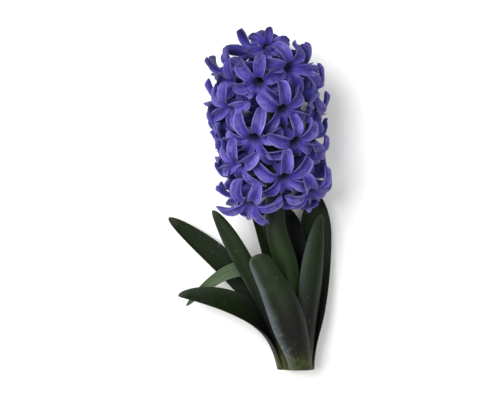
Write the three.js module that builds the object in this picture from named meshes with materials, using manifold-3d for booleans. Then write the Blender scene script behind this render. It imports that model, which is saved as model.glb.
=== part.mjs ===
// A cut hyacinth laid on a table: one flower stalk with its dense head of bell florets,
// and the nine strap leaves whose bases are wrapped round the foot of the stalk.
// Millimetres. +Z is up from the table, +Y runs along the stalk towards the head,
// +X is to the right of someone who looks down on the flower with its head at the top.
// The shapes are worked out from the middle of the cut face, at table height, and the
// finished group is then moved so that its origin is the middle of the part's footprint.

import * as THREE from "three";
import { mergeVertices } from "three/addons/utils/BufferGeometryUtils.js";
import Module from "manifold-3d";

const wasm = await Module();
wasm.setup();

// Driving dimensions

const flowerLength = 196;
const originShift = [24.66, -99.13, 0];

const stalk = {
  cutHeight: 10.7,
  rise: 22,
  bow: 0.35,
  lean: 16.2,
  leanPower: 1.25,
  footRight: 2.2,
  cutRadius: 5.1,
  middleRadius: 7.0,
  middleAt: 55,
  headRadius: 5.7,
  tipRadius: 2.0,
  topOfScape: 96,
  topOfRachis: 180,
  jointGap: 0.3,
  sways: [[30, 58, 1.8], [58, 84, -3.5], [86, 112, 1.7]],
  sides: 12,
  rings: 11,
};

// The florets of the side that shows: height of the root along the stalk, azimuth round
// it (0 is up, 90 to the right), tilt towards the top, turn of the star, size, and how far
// the tepals curl back, from 0 in a bud to 1 in a full bloom.
const shownFlorets = [
  [110, -33, -21, -42, 1.02, 0.84],
  [110, 46, -12, -20, 0.94, 0.9],
  [105, -78, -8, -18, 0.76, 0.5],
  [107, 90, -16, -8, 0.78, 0.7],
  [117, 10, -5, 6, 1.0, 1.0],
  [114, -86, 2, -5, 0.76, 0.45],
  [123, -46, 2, -20, 0.94, 0.85],
  [123, 72, 2, -12, 0.84, 0.7],
  [125, -108, 8, -15, 0.82, 0.5],
  [134, 29, 0, 8, 0.98, 1.0],
  [132, -74, 6, -15, 0.88, 0.5],
  [138, -21, 0, -35, 1.0, 0.95],
  [139, -98, 10, -22, 0.94, 0.4],
  [142, 88, 6, -10, 0.9, 0.6],
  [152, 16, 2, 4, 1.0, 1.0],
  [152, -60, 8, -25, 0.94, 0.7],
  [152, -106, 12, -12, 0.98, 0.4],
  [156, 76, 10, -18, 0.94, 0.6],
  [162, -12, 16, -15, 0.98, 0.9],
  [164, -46, 14, 5, 0.84, 0.6],
  [167, 34, 22, 20, 0.94, 0.85],
  [165, -88, 20, -20, 0.94, 0.35],
  [174, 6, 52, -8, 0.7, 0.3],
  [167, 86, 22, -30, 0.84, 0.5],
  [169, -68, 26, -12, 0.8, 0.5],
  [172, 40, 46, 20, 0.66, 0.5],
  [170, -150, 48, -24, 0.82, 0.6],
];
// The florets of the side that lies on the table go round by a rule.
const hiddenFlorets = {
  count: 10,
  firstAt: 105,
  lastAt: 170,
  middleAzimuth: 180,
  azimuthSpread: 54,
  turn: -122,
  tilt: [-10, 36],
  roll: -9.5,
  rollSpread: 12,
  topSize: 0.74,
  shrinkFrom: 0.62,
  curl: [0.9, 0.45],
};

const floret = {
  sink: 1.2,
  pedicel: 7.5,
  pedicelRadius: 1.2,
  tube: 16.5,
  bellAt: 0.5,
  bellRadius: 3.5,
  mouthRadius: 3.9,
  lipThickness: 0.9,
  notchDepth: 1.0,
  throatDepth: 6.5,
  elbowAt: 0.45,
  elbowLift: 0.4,
};

const tepal = {
  length: 17,
  lengthSpread: 0.1,
  halfWidth: [3.8, 4.4],
  rootWidth: 0.6,
  widestAt: 0.48,
  tipPower: 1.9,
  sway: 0.14,
  fan: 7,
  fannedBy: 0.3,
  thickness: 1.0,
  startAngle: [30, 36],
  endAngle: [146, 172],
  bendPower: 0.66,
  bendSpread: 0.25,
  topCurl: 50,
  topwardFrom: 0.4,
  closedBy: [24, 80],
  angleSpread: 22,
  channel: 0.5,
  rootInset: 0.45,
  lineSteps: 12,
  probeStep: 0.05,
  stations: [0.34, 0.76],
};

const table = { softness: 2.2, sink: 0.35, trim: 60 };

const leafBlade = {
  thickness: [1.7, 2.9, 0.9],
  edge: 0.26,
  edgeThinsBy: 0.2,
  openBy: 0.42,
  narrowFrom: 0.38,
  tipPower: 2.1,
  tipWidth: 0.02,
  tipThinning: 0.35,
  hood: 14,
  hoodFrom: 0.8,
  across: 7,
  stations: 13,
};
const layerRadius = { inner: 6.15, middle: 8.15, outer: 10.15 };

// Each leaf: where its base sits round the stalk (0 is the top, 90 the right), how far it
// wraps there, its half width and curl further up, where its tip starts to round, its
// width towards the tip, and the handles and tip of its midline. faceAt is the way its
// inner side looks at the tip.
const leaves = [
  {
    name: "leaf_front_broad",
    layer: "outer",
    azimuth: 23,
    wrap: 46,
    halfWidth: 12.2,
    curl: 56,
    shoulder: 0.92,
    tipShare: 0.7,
    path: [[5, 22, 30.6], [-10.6, 46, 38], [-22.6, 67, 38]],
    faceAt: [0.2, 0.3, -0.93],
  },
  {
    name: "leaf_front_right",
    layer: "middle",
    azimuth: 68,
    wrap: 44,
    halfWidth: 9.0,
    curl: 38,
    shoulder: 0.52,
    tipShare: 0.8,
    path: [[13.4, 27, 14.6], [9, 56, 26], [16.8, 91, 22]],
    faceAt: [-0.2, 0.1, -0.95],
  },
  {
    name: "leaf_left_slim",
    layer: "middle",
    azimuth: -60,
    wrap: 46,
    halfWidth: 6.9,
    curl: 44,
    shoulder: 0.7,
    tipShare: 1.0,
    path: [[-10, 28, 18], [-27.5, 60, 23], [-46.5, 93, 22]],
    faceAt: [0.35, 0.2, -0.9],
  },
  {
    name: "leaf_left_arched",
    layer: "outer",
    azimuth: -88,
    wrap: 33,
    halfWidth: 9.2,
    curl: 32,
    shoulder: 0.5,
    tipShare: 1.0,
    path: [[-12, 24, 11.5], [-28, 44.5, 27], [-66.5, 43.5, 16]],
    faceAt: [0.1, 0.6, 0.8],
  },
  {
    name: "leaf_left_long",
    layer: "outer",
    azimuth: -160,
    wrap: 33,
    halfWidth: 8.0,
    curl: 28,
    shoulder: 0.5,
    tipShare: 1.0,
    path: [[-6, 34, 0.8], [-36, 62, 1.4], [-72.5, 88.7, 5]],
    faceAt: [-0.1, 0.1, 1],
  },
  {
    name: "leaf_left_drooping",
    layer: "middle",
    azimuth: -148,
    wrap: 31,
    halfWidth: 5.2,
    curl: 30,
    shoulder: 0.6,
    tipShare: 0.8,
    path: [[-7, 68, 2.4], [-30, 73, 15], [-62, 37, 8]],
    faceAt: [-0.2, -0.4, 0.9],
  },
  {
    name: "leaf_right_upright",
    layer: "outer",
    azimuth: 120,
    wrap: 41,
    halfWidth: 9.6,
    curl: 27,
    shoulder: 0.8,
    tipShare: 1.0,
    path: [[12.2, 24, 4.2], [16.2, 58, 3.2], [12.9, 103.5, 5]],
    faceAt: [0.05, 0, 1],
  },
  {
    name: "leaf_back_right",
    layer: "inner",
    azimuth: 140,
    wrap: 48,
    halfWidth: 7.0,
    curl: 28,
    shoulder: 0.86,
    tipShare: 0.9,
    path: [[7.5, 30, 7], [7.4, 62, 10.4], [-3.8, 94.2, 5.3]],
    faceAt: [0.0, 0.1, 1],
  },
  {
    name: "leaf_back_left",
    layer: "inner",
    azimuth: -114,
    wrap: 44,
    halfWidth: 6.8,
    curl: 30,
    shoulder: 0.6,
    tipShare: 0.8,
    path: [[-9, 30, 9.2], [-5, 62, 9], [-24.5, 96, 6.4]],
    faceAt: [0.15, 0.1, 1],
  },
];

const colours = {
  violet: 0x5044a8,
  leafGreen: 0x33452f,
  stalkGreen: 0x4c6236,
};

// Helpers

const degrees = Math.PI / 180;
const mix = (a, b, t) => a + (b - a) * t;
const clamp01 = (t) => Math.min(1, Math.max(0, t));
const smooth = (from, to, t) => {
  const k = clamp01((t - from) / (to - from));
  return k * k * (3 - 2 * k);
};
const vector = (x, y, z) => new THREE.Vector3(x, y, z);

// The unit direction nearest to the wanted one that is square to a line's direction.
function squareTo(along, wanted) {
  return wanted.clone().addScaledVector(along, -wanted.dot(along)).normalize();
}

// A repeatable draw between -1 and 1 for one floret or tepal and one purpose.
function draw(index, purpose) {
  const wave = Math.sin((index + 1) * 12.9898 + purpose * 78.233) * 43758.5453;
  return (wave - Math.floor(wave)) * 2 - 1;
}

// What would go under the table is pressed flat along it, a little into the trimmed layer.
function press(point) {
  const k = table.softness;
  const z = k * Math.log1p(Math.exp(point.z / k)) - table.sink;
  return vector(point.x, point.y, Math.max(z, -table.sink));
}

// Faces between two rings of equal count that start at vertex a and vertex b.
function bandFaces(a, b, count) {
  const faces = [];
  for (let i = 0; i < count; i += 1) {
    const next = (i + 1) % count;
    faces.push(a + i, a + next, b + next, a + i, b + next, b + i);
  }
  return faces;
}
// Faces from a ring to one point past it, and from a ring back to one point before it.
function coneFaces(a, count, point) {
  const faces = [];
  for (let i = 0; i < count; i += 1) faces.push(a + i, a + ((i + 1) % count), point);
  return faces;
}
function footFaces(a, count, point) {
  return coneFaces(a, count, point).reverse();
}

function meshOf(points, faces) {
  const geometry = new THREE.BufferGeometry();
  geometry.setFromPoints(points);
  geometry.setIndex(faces);
  return geometry;
}

function middleOf(ring) {
  return ring.reduce((sum, p) => sum.add(p), vector(0, 0, 0)).divideScalar(ring.length);
}

// The faces along the sides of rings of points that lie one after another.
function sideFaces(rings) {
  const count = rings[0].length;
  return rings.slice(1).flatMap((_, r) => bandFaces(r * count, (r + 1) * count, count));
}

// A closed surface over round rings, each end drawn to the middle of its ring.
function roundLoft(rings) {
  const count = rings[0].length;
  const points = [...rings.flat(), middleOf(rings[0]), middleOf(rings[rings.length - 1])];
  const faces = sideFaces(rings);
  faces.push(...footFaces(0, count, points.length - 2));
  faces.push(...coneFaces((rings.length - 1) * count, count, points.length - 1));
  return meshOf(points, faces);
}

// The same over thin rings that run along one side and back along the other: each end is
// closed by a strip of faces from the one side to the other.
function bladeLoft(rings) {
  const count = rings[0].length;
  const strip = (a) => {
    const faces = [];
    for (let j = 0; j + 1 < count / 2; j += 1) {
      const back = count - 1 - j;
      faces.push(a + j, a + j + 1, a + back - 1, a + j, a + back - 1, a + back);
    }
    return faces;
  };
  const faces = sideFaces(rings);
  faces.push(...strip(0).reverse(), ...strip((rings.length - 1) * count));
  return meshOf(rings.flat(), faces);
}

function toSolid(geometry) {
  const bare = geometry.clone();
  bare.deleteAttribute("normal");
  bare.deleteAttribute("uv");
  const merged = mergeVertices(bare, 1e-4);
  const vertProperties = new Float32Array(merged.attributes.position.array);
  const triVerts = new Uint32Array(merged.index.array);
  const solid = new wasm.Manifold(new wasm.Mesh({ numProp: 3, vertProperties, triVerts }));
  if (solid.volume() >= 0) return solid;
  const turned = triVerts.reverse();
  return new wasm.Manifold(new wasm.Mesh({ numProp: 3, vertProperties, triVerts: turned }));
}

function toGeometry(solid) {
  const { vertProperties, triVerts } = solid.getMesh();
  const geometry = new THREE.BufferGeometry();
  geometry.setAttribute("position", new THREE.BufferAttribute(vertProperties, 3));
  geometry.setIndex(new THREE.BufferAttribute(triVerts, 1));
  geometry.computeVertexNormals();
  return geometry;
}

// What is under the table's face is cut away flat, and only the main body is kept.
const underTable = toSolid(
  new THREE.BoxGeometry(4 * flowerLength, 4 * flowerLength, table.trim)
    .translate(0, 0, -table.trim / 2),
);
function restOnTable(solid) {
  const bodies = solid.subtract(underTable).decompose();
  return bodies.sort((a, b) => b.volume() - a.volume())[0];
}

function addPiece(group, name, geometry, colour, roughness) {
  const material = new THREE.MeshStandardMaterial({ color: colour, roughness, metalness: 0 });
  const mesh = new THREE.Mesh(geometry, material);
  mesh.name = name;
  group.add(mesh);
}

// The stalk's middle line, and the directions round it. From a foot that is a little to the
// right it leans left, by a power of the length that is left. It has a few smooth sideways
// steps, and it bows up a little.

function stalkAt(y) {
  const t = y / flowerLength;
  const left = Math.max(0, 1 - t);
  let x = stalk.footRight * left ** 3 - stalk.lean * (1 - left ** stalk.leanPower);
  for (const [low, high, step] of stalk.sways) x += step * smooth(low, high, y);
  return vector(x, y, stalk.cutHeight + stalk.rise * t * (1 + stalk.bow * (1 - t)));
}
function stalkDirection(y) {
  return stalkAt(y + 0.5).sub(stalkAt(y - 0.5)).normalize();
}
// The direction out from the stalk at an azimuth, in the cut face and further up.
function inCutFace(azimuth) {
  return vector(Math.sin(azimuth * degrees), 0, Math.cos(azimuth * degrees));
}
function outward(y, azimuth) {
  return squareTo(stalkDirection(y), inCutFace(azimuth));
}
// It swells from the cut to the middle, and from the foot of the head tapers to its tip.
function stalkRadius(y) {
  const swollen = mix(stalk.cutRadius, stalk.middleRadius, smooth(0, stalk.middleAt, y));
  const atHead = mix(swollen, stalk.headRadius, smooth(stalk.middleAt, stalk.topOfScape, y));
  const tapered = clamp01((y - stalk.topOfScape) / (stalk.topOfRachis - stalk.topOfScape));
  return mix(atHead, stalk.tipRadius, tapered);
}
function stalkPart(from, to) {
  const rings = [];
  for (let r = 0; r < stalk.rings; r += 1) {
    const y = mix(from, to, r / (stalk.rings - 1));
    const ring = [];
    for (let i = 0; i < stalk.sides; i += 1) {
      const azimuth = (360 * i) / stalk.sides;
      const out = y === 0 ? inCutFace(azimuth) : outward(y, azimuth);
      ring.push(stalkAt(y).addScaledVector(out, stalkRadius(y)));
    }
    rings.push(ring);
  }
  return roundLoft(rings);
}

// Florets: a pedicel that lifts, a bell tube with an open throat, and six tepals

function hiddenFloret(i) {
  const share = i / (hiddenFlorets.count - 1);
  const swing = Math.sin(i * hiddenFlorets.turn * degrees);
  const [lowTilt, highTilt] = hiddenFlorets.tilt;
  return [
    mix(hiddenFlorets.firstAt, hiddenFlorets.lastAt, share),
    hiddenFlorets.middleAzimuth + hiddenFlorets.azimuthSpread * swing,
    mix(lowTilt, highTilt, share ** 2),
    hiddenFlorets.roll + hiddenFlorets.rollSpread * draw(i, 3),
    mix(1, hiddenFlorets.topSize, smooth(hiddenFlorets.shrinkFrom, 1, share)),
    mix(...hiddenFlorets.curl, share),
  ];
}

function allFlorets() {
  const hidden = Array.from({ length: hiddenFlorets.count }, (_, i) => hiddenFloret(i));
  return [...shownFlorets, ...hidden];
}

// The floret's middle line starts in the stalk, lifts at its elbow and ends at its mouth.
// The axis of its star of tepals is the line's direction at the mouth.
function placeFloret([rise, azimuth, tilt, roll, size, curl], index) {
  const out = outward(rise, azimuth);
  const along = stalkDirection(rise);
  const heading = out.clone().multiplyScalar(Math.cos(tilt * degrees))
    .addScaledVector(along, Math.sin(tilt * degrees));
  const root = stalkAt(rise).addScaledVector(out, stalkRadius(rise) - floret.sink);
  const reach = (floret.pedicel + floret.tube) * size;
  const elbow = root.clone()
    .addScaledVector(heading, reach * floret.elbowAt)
    .addScaledVector(squareTo(heading, along), reach * floret.elbowLift);
  const mouth = root.clone().addScaledVector(heading, reach);
  const line = new THREE.QuadraticBezierCurve3(root, elbow, mouth);
  const axis = line.getTangent(1);
  const up = squareTo(axis, along);
  return { index, size, roll, curl, line, axis, up, side: axis.clone().cross(up) };
}

// A point off the floret's middle line, at an angle round it (0 is towards the head's top).
function besideLine(place, at, degreesRound, radius, forward = 0) {
  const tangent = place.line.getTangent(at);
  const across = tangent.clone().cross(place.up).normalize();
  const top = across.clone().cross(tangent);
  return press(place.line.getPoint(at)
    .addScaledVector(top, Math.cos(degreesRound * degrees) * radius * place.size)
    .addScaledVector(across, Math.sin(degreesRound * degrees) * radius * place.size)
    .addScaledVector(tangent, forward * place.size));
}

// A tepal's middle line leaves the mouth forwards and curls back: its angle to the bell's
// axis grows by a power of the length, less in a floret that is still closed and more in a
// tepal that points to the head's top. How far out from the axis and ahead of the mouth the
// line lies is added up in short steps.
function tepalLine(start, end, bend, s) {
  let out = 0;
  let ahead = 0;
  for (let i = 0; i < tepal.lineSteps; i += 1) {
    const t = (s * (i + 0.5)) / tepal.lineSteps;
    const angle = mix(start, end, t ** bend);
    out += (Math.sin(angle) * s) / tepal.lineSteps;
    ahead += (Math.cos(angle) * s) / tepal.lineSteps;
  }
  return { out, ahead, angle: mix(start, end, s ** bend) };
}

// A point of a tepal at a share s of its length and u of its half width. Across it is a
// channel with raised edges.
function tepalPoint(place, k, s, u) {
  const inner = k % 2;
  const piece = place.index * 6 + k;
  const closing = 1 - place.curl;
  const start = (tepal.startAngle[inner] - tepal.closedBy[0] * closing) * degrees;
  const topward = smooth(tepal.topwardFrom, 1, Math.cos((place.roll + k * 60) * degrees));
  const end = (tepal.endAngle[inner] - tepal.closedBy[1] * closing
    + tepal.topCurl * topward * place.curl + tepal.angleSpread * draw(piece, 4)) * degrees;
  const length = tepal.length * place.size * (1 + tepal.lengthSpread * draw(piece, 5));
  const bend = tepal.bendPower * (1 + tepal.bendSpread * draw(piece, 11));
  const line = tepalLine(start, end, bend, s);
  const radial = (floret.mouthRadius - tepal.rootInset) * place.size + length * line.out;
  const fan = tepal.fan * draw(piece, 12) * smooth(0, tepal.fannedBy, s);
  const round = (place.roll + k * 60 + fan) * degrees;
  const out = place.up.clone().multiplyScalar(Math.cos(round))
    .addScaledVector(place.side, Math.sin(round));
  const across = place.axis.clone().cross(out);
  const face = place.axis.clone().multiplyScalar(Math.sin(line.angle))
    .addScaledVector(out, -Math.cos(line.angle));
  const swell = mix(tepal.rootWidth, 1, smooth(0, tepal.widestAt, s));
  const pastWidest = clamp01((s - tepal.widestAt) / (1 - tepal.widestAt));
  const taper = Math.sqrt(1 - pastWidest ** tepal.tipPower);
  const halfWidth = tepal.halfWidth[inner] * place.size * swell * taper;
  const sway = tepal.sway * length * draw(piece, 6) * s * s;
  return press(place.line.getPoint(1)
    .addScaledVector(out, radial)
    .addScaledVector(place.axis, length * line.ahead)
    .addScaledVector(across, halfWidth * u + sway)
    .addScaledVector(face, halfWidth * tepal.channel * u * u));
}

// One floret in one closed surface: rings of six points up the pedicel and the bell, a lip
// whose outer and inner edge have a point at each notch and at each tepal, six tepals as
// flat four-cornered rings drawn from lip to tip, and a throat that runs down to a point.
function floretGeometry(place) {
  const points = [];
  const faces = [];
  const add = (point) => points.push(point) - 1;
  const pedicelShare = floret.pedicel / (floret.pedicel + floret.tube);
  const steps = [
    [0, floret.pedicelRadius],
    [pedicelShare, floret.pedicelRadius],
    [floret.bellAt, floret.bellRadius],
  ];
  for (const [at, radius] of steps) {
    for (let k = 0; k < 6; k += 1) add(besideLine(place, at, place.roll + k * 60 - 30, radius));
  }
  const bell = 12;
  const foot = add(place.line.getPoint(0));
  faces.push(...footFaces(0, 6, foot), ...bandFaces(0, 6, 6), ...bandFaces(6, bell, 6));

  const lipRing = (radius) => [0, 1, 2, 3, 4, 5].map((k) => {
    const turn = place.roll + k * 60;
    return {
      notch: add(besideLine(place, 1, turn - 30, radius, -floret.notchDepth)),
      middle: add(besideLine(place, 1, turn, radius)),
    };
  });
  const outer = lipRing(floret.mouthRadius);
  const inner = lipRing(floret.mouthRadius - floret.lipThickness);
  const throat = add(press(place.line.getPoint(1)
    .addScaledVector(place.axis, -floret.throatDepth * place.size)));

  for (let k = 0; k < 6; k += 1) {
    const next = (k + 1) % 6;
    const [outLeft, outMiddle, outRight] = [outer[k].notch, outer[k].middle, outer[next].notch];
    const [inLeft, inMiddle, inRight] = [inner[k].notch, inner[k].middle, inner[next].notch];
    faces.push(
      bell + k, bell + next, outMiddle,
      bell + k, outMiddle, outLeft,
      bell + next, outRight, outMiddle,
      inLeft, inMiddle, throat,
      inMiddle, inRight, throat,
    );
    const rings = tepal.stations.map((s) => tepalRing(place, k, s).map(add));
    const [left, back, right, front] = rings[0];
    faces.push(
      outLeft, outMiddle, back,
      outLeft, back, left,
      outMiddle, outRight, right,
      outMiddle, right, back,
      outRight, inRight, right,
      inRight, inMiddle, front,
      inRight, front, right,
      inMiddle, inLeft, left,
      inMiddle, left, front,
      inLeft, outLeft, left,
    );
    for (let r = 1; r < rings.length; r += 1) {
      faces.push(...bandFaces(rings[r - 1][0], rings[r][0], 4));
    }
    const tip = add(tepalPoint(place, k, 1, 0));
    faces.push(...coneFaces(rings[rings.length - 1][0], 4, tip));
  }
  return meshOf(points, faces);
}

// The four corners of a tepal's section: left edge, back, right edge, front.
function tepalRing(place, k, s) {
  const left = tepalPoint(place, k, s, -1);
  const right = tepalPoint(place, k, s, 1);
  const middle = tepalPoint(place, k, s, 0);
  const ahead = tepalPoint(place, k, s + tepal.probeStep, 0).sub(middle);
  const out = right.clone().sub(left).cross(ahead).normalize().multiplyScalar(tepal.thickness / 2);
  return [left, middle.clone().add(out), right, middle.clone().sub(out)];
}

function flowerHead() {
  const parts = [toSolid(stalkPart(stalk.topOfScape + stalk.jointGap, stalk.topOfRachis))];
  for (const place of allFlorets().map(placeFloret)) parts.push(toSolid(floretGeometry(place)));
  return toGeometry(restOnTable(wasm.Manifold.union(parts)));
}

// Leaves: a blade swept along a Bezier midline, wrapped round the stalk at its base

// The blade's section at a share s of its length: an arc whose half width and half angle
// change from the sheath's to the open blade's, thinner at its edges and towards the tip.
function leafSection(leaf, s) {
  const radius = layerRadius[leaf.layer];
  const opened = smooth(0, leafBlade.openBy, s);
  const pastShoulder = clamp01((s - leaf.shoulder) / (1 - leaf.shoulder));
  const rounded = Math.sqrt(Math.max(leafBlade.tipWidth ** 2, 1 - pastShoulder ** leafBlade.tipPower));
  const taper = rounded * mix(1, leaf.tipShare, smooth(leafBlade.narrowFrom, 1, s));
  const hood = leafBlade.hood * smooth(leafBlade.hoodFrom, 1, s);
  const curl = (mix(leaf.wrap, leaf.curl, opened) + hood) * degrees;
  const halfWidth = mix(radius * leaf.wrap * degrees, leaf.halfWidth, opened) * taper;
  const [atBase, atMiddle, atTip] = leafBlade.thickness;
  const grown = mix(atBase, atMiddle, smooth(0, 0.5, s));
  const thickness = mix(grown, atTip, smooth(0.5, 1, s)) * mix(leafBlade.tipThinning, 1, taper);
  const edge = mix(1, leafBlade.edge, smooth(0, leafBlade.edgeThinsBy, s));
  return { curl, bend: halfWidth / curl, thickness, edge };
}

// The ring runs over the inner side from one edge to the other and back over the outer.
function leafRing(leaf, line, s) {
  const out = inCutFace(leaf.azimuth);
  const along = s === 0 ? vector(0, 1, 0) : line.getTangent(s);
  const wanted = out.negate().lerp(vector(...leaf.faceAt).normalize(), smooth(0, 1, s));
  const face = squareTo(along, wanted);
  const across = along.clone().cross(face);
  const { curl, bend, thickness, edge } = leafSection(leaf, s);
  const ring = [];
  for (const side of [1, -1]) {
    for (let j = 0; j < leafBlade.across; j += 1) {
      const u = side * (1 - (2 * j) / (leafBlade.across - 1));
      const turn = curl * u;
      const half = 0.5 * thickness * mix(1, edge, u * u);
      ring.push(line.getPoint(s)
        .addScaledVector(across, (bend - side * half) * Math.sin(turn))
        .addScaledVector(face, bend - (bend - side * half) * Math.cos(turn)));
    }
  }
  return ring;
}

function leafSolid(leaf) {
  const base = stalkAt(0).addScaledVector(inCutFace(leaf.azimuth), layerRadius[leaf.layer]);
  const line = new THREE.CubicBezierCurve3(base, ...leaf.path.map((p) => vector(...p)));
  const rings = [];
  for (let r = 0; r < leafBlade.stations; r += 1) {
    rings.push(leafRing(leaf, line, r / (leafBlade.stations - 1)));
  }
  return restOnTable(toSolid(bladeLoft(rings)));
}

// The whole flower

const hyacinth = new THREE.Group();
hyacinth.position.set(...originShift);

addPiece(hyacinth, "flower_head", flowerHead(), colours.violet, 0.55);
addPiece(hyacinth, "flower_stalk", stalkPart(0, stalk.topOfScape), colours.stalkGreen, 0.5);
for (const leaf of leaves) {
  addPiece(hyacinth, leaf.name, toGeometry(leafSolid(leaf)), colours.leafGreen, 0.5);
}

export default hyacinth;
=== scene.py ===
# A cut hyacinth that lies on a pale surface: violet-blue bell florets round a green stalk,
# and nine strap leaves wrapped round its foot. All shapes are worked out in millimetres in
# the plant's own frame (cut face in the middle, x right, y to the head, z up) and moved to
# the part's frame, in metres, when a mesh is made.

import math

import bmesh
import bpy
import numpy as np
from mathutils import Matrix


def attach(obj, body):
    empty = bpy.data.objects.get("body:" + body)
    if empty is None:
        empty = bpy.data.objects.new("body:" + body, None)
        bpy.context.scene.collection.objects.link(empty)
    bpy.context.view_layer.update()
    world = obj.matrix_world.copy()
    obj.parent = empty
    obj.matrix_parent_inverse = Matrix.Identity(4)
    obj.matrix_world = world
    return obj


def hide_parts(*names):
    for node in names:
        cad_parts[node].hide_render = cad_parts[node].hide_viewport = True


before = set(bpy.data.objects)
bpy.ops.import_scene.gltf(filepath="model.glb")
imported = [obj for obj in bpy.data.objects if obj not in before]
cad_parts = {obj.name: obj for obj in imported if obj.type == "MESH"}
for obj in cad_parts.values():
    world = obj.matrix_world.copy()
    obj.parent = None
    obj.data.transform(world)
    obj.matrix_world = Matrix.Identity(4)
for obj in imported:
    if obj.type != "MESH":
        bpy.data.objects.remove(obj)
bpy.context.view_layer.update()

body = "root"
metresPerUnit = 0.001
plantShift = np.array([24.66, -99.13, 0.0])    # from the cut face to the part's origin
flowerLength = 196


# Arrays of numbers and of points

def mix(a, b, t):
    return a + (b - a) * t


def smooth(low, high, t):
    # an S-shaped step from 0 at low to 1 at high
    k = np.clip((t - low) / (high - low), 0, 1)
    return k * k * (3 - 2 * k)


def bump(middle, width, t):
    # a bell of height 1 at the middle that is 1/e high one width away
    return np.exp(-((t - middle) / width) ** 2)


def dot(a, b):
    return np.sum(a * b, axis=-1, keepdims=True)


def unit(v):
    return v / np.linalg.norm(v, axis=-1, keepdims=True)


def squareTo(along, wanted):
    # the unit direction nearest to the wanted one that is square to a line's direction
    return unit(wanted - along * dot(wanted, along))


purposes = {
    "roll": 3, "endAngle": 4, "length": 5, "sway": 6, "twist": 7, "wave": 8, "age": 9,
    "tone": 10, "bend": 11, "fan": 12,
}


def draw(index, purpose):
    # a repeatable draw between -1 and 1 for each index and purpose: the fraction of a large sine
    indexStep, purposeStep, height = 12.9898, 78.233, 43758.5453
    wave = np.sin((index + 1) * indexStep + purposes[purpose] * purposeStep) * height
    return (wave - np.floor(wave)) * 2 - 1


def vec(*parts):
    return np.stack(np.broadcast_arrays(*parts), axis=-1).astype(float)


def radians(degrees):
    return np.asarray(degrees) * math.pi / 180


# Objects, and meshes made from grids of points

def addObject(name, data):
    made = bpy.data.objects.new(name, data)
    bpy.context.scene.collection.objects.link(made)
    return made


def makePiece(name, points, uv, marks, finish, nodes, flatRows=()):
    # One mesh from one or more grids: points has the shape (..., rows, columns, 3), and a
    # square of four neighbours is a face. Rows or columns that lie on each other are joined,
    # which closes poles and seams. marks holds a number for each point under each name, and
    # flatRows the rows of faces that are shaded flat.
    rows, columns = points.shape[-3:-1]
    flat = points.reshape(-1, 3)
    index = np.arange(len(flat)).reshape(-1, rows, columns)
    quads = np.stack([index[:, :-1, :-1], index[:, :-1, 1:],
                      index[:, 1:, 1:], index[:, 1:, :-1]], axis=-1)
    rowOfFace = np.broadcast_to(np.arange(rows - 1)[None, :, None], quads.shape[:3]).ravel()
    corners = quads.reshape(-1)
    faceCount = len(corners) // 4
    mesh = bpy.data.meshes.new(name)
    mesh.vertices.add(len(flat))
    mesh.vertices.foreach_set("co", ((flat + plantShift) * metresPerUnit).ravel())
    mesh.loops.add(len(corners))
    mesh.loops.foreach_set("vertex_index", corners)
    mesh.polygons.add(faceCount)
    mesh.polygons.foreach_set("loop_start", np.arange(faceCount) * 4)
    mesh.polygons.foreach_set("use_smooth", ~np.isin(rowOfFace, flatRows))
    mesh.update(calc_edges=True)
    layer = mesh.uv_layers.new(name="alongPiece")
    layer.data.foreach_set("uv", uv.reshape(-1, 2)[corners].ravel())
    for markName, values in marks.items():
        attribute = mesh.attributes.new(markName, "FLOAT", "CORNER")
        spread = np.broadcast_to(values, points.shape[:-1]).reshape(-1)
        attribute.data.foreach_set("value", spread[corners])
    joined = bmesh.new()
    joined.from_mesh(mesh)
    bmesh.ops.remove_doubles(joined, verts=joined.verts, dist=1e-6)
    joined.to_mesh(mesh)
    joined.free()
    mesh.materials.append(finish)
    piece = addObject(name, mesh)
    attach(piece, body)
    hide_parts(*nodes)
    print(name, "has", sum(len(p.vertices) - 2 for p in mesh.polygons), "triangles")


# Shader nodes: a wire is a node's output that Python can reckon with

class Wire:
    def __init__(self, finish, socket):
        self.finish = finish
        self.socket = socket

    def reckon(self, operation, *values):
        sockets = dict(enumerate(values))
        return self.finish.node("ShaderNodeMath", {"operation": operation}, sockets)

    def __add__(self, other):
        return self.reckon("ADD", self, other)

    def __radd__(self, other):
        return self.reckon("ADD", other, self)

    def __sub__(self, other):
        return self.reckon("SUBTRACT", self, other)

    def __rsub__(self, other):
        return self.reckon("SUBTRACT", other, self)

    def __mul__(self, other):
        return self.reckon("MULTIPLY", self, other)

    def __truediv__(self, other):
        return self.reckon("DIVIDE", self, other)

    def __abs__(self):
        return self.reckon("ABSOLUTE", self)

    def sine(self):
        return self.reckon("SINE", self)

    def step(self, low, high):
        # an S-shaped step from 0 at low to 1 at high
        return self.finish.node("ShaderNodeMapRange", {"interpolation_type": "SMOOTHSTEP"},
                                {"Value": self, "From Min": low, "From Max": high})


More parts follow.
